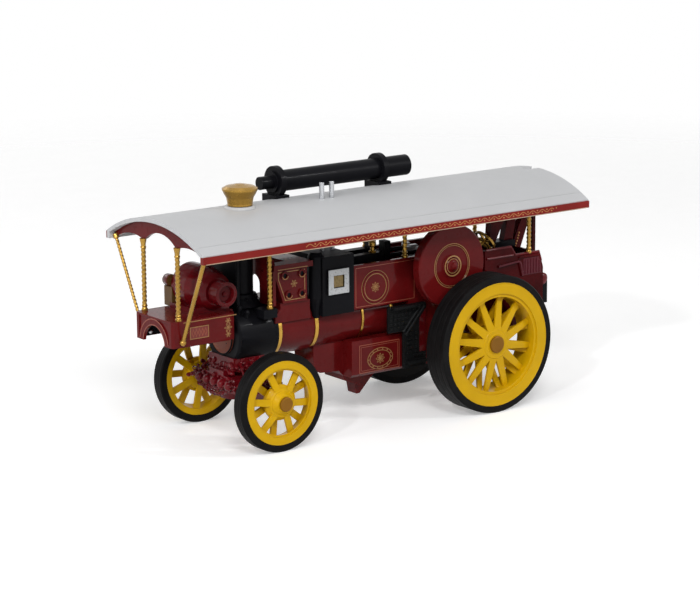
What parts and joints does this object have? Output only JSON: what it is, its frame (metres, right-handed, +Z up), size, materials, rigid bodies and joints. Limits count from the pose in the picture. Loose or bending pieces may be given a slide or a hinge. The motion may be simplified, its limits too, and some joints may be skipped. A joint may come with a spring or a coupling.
{
  "type": "scale model steam traction engine",
  "caption": "Fairground road locomotive model: boiler, flywheel, dynamo, tender and full canopy on turned posts, rolling on spoked wheels.",
  "frame": {"origin": "on the ground, midway along the canopy, on the centreline", "axes": "+X forward, towards the dynamo; +Y the engine's left side, where the flywheel is; +Z up"},
  "size_m": [0.0948, 0.036, 0.0509],
  "materials": {
    "maroon_paint": "gloss dark crimson with fine gold lining",
    "black_paint": "satin black",
    "brass": "bright brass finish",
    "roof_white": "pale grey-white moulding",
    "fascia_red": "dark red with a gold ornament",
    "steel": "bright pin",
    "silver": "silver finish",
    "wheel_yellow": "chrome yellow moulding",
    "tyre_black": "black soft moulding",
    "copper_brown": "brown metallic paint"
  },
  "bodies": {
    "engine": {"belly_tank": "maroon_paint", "boiler": "maroon_paint", "boiler_bands": "brass", "brackets_hornplate": "maroon_paint", "brackets_platform": "maroon_paint", "brackets_smokebox": "maroon_paint", "brackets_tender": "maroon_paint", "canopy_fascia_left": "fascia_red", "canopy_fascia_right": "fascia_red", "canopy_roof": "roof_white", "canopy_stay_left": "brass", "canopy_stay_right": "brass", "chimney": "black_paint", "chimney_cap": "brass", "crane": "maroon_paint", "crane_drum": "black_paint", "crankshaft": "steel", "cylinder_block": "maroon_paint", "cylinder_cover": "black_paint", "drawbar": "maroon_paint", "dynamo": "maroon_paint", "dynamo_brush_gear": "copper_brown", "dynamo_platform": "maroon_paint", "dynamo_pulley": "maroon_paint", "exhaust_pipes": "silver", "extension_brackets": "black_paint", "extension_tube": "black_paint", "firebox": "maroon_paint", "flywheel": "maroon_paint", "fore_carriage": "maroon_paint", "hornplate_left": "maroon_paint", "hornplate_right": "maroon_paint", "motion_work": "black_paint", "post_seats": "black_paint", "posts_hornplate": "brass", "posts_platform": "brass", "posts_smokebox": "brass", "posts_tender": "brass", "roof_collar": "roof_white", "smokebox": "black_paint", "smokebox_door": "copper_brown", "steering_wheel": "brass", "step_left": "black_paint", "step_right": "black_paint", "tender": "maroon_paint", "valve_casing": "black_paint"},
    "front_wheelset": {"front_axle": "steel", "front_hub_caps": "copper_brown", "front_tyre_left": "tyre_black", "front_tyre_right": "tyre_black", "front_wheel_left": "wheel_yellow", "front_wheel_right": "wheel_yellow"},
    "rear_wheelset": {"rear_axle": "steel", "rear_hub_caps": "copper_brown", "rear_tyre_left": "tyre_black", "rear_tyre_right": "tyre_black", "rear_wheel_left": "wheel_yellow", "rear_wheel_right": "wheel_yellow"}
  },
  "joints": [
    {"name": "front_wheels_roll", "type": "hinge", "parent": "engine", "child": "front_wheelset", "pos_m": [0.02855, 0, 0.0096], "axis": [0, 1, 0], "continuous": true},
    {"name": "rear_wheels_roll", "type": "hinge", "parent": "engine", "child": "rear_wheelset", "pos_m": [-0.02227, 0, 0.014], "axis": [0, 1, 0], "continuous": true}
  ]
}
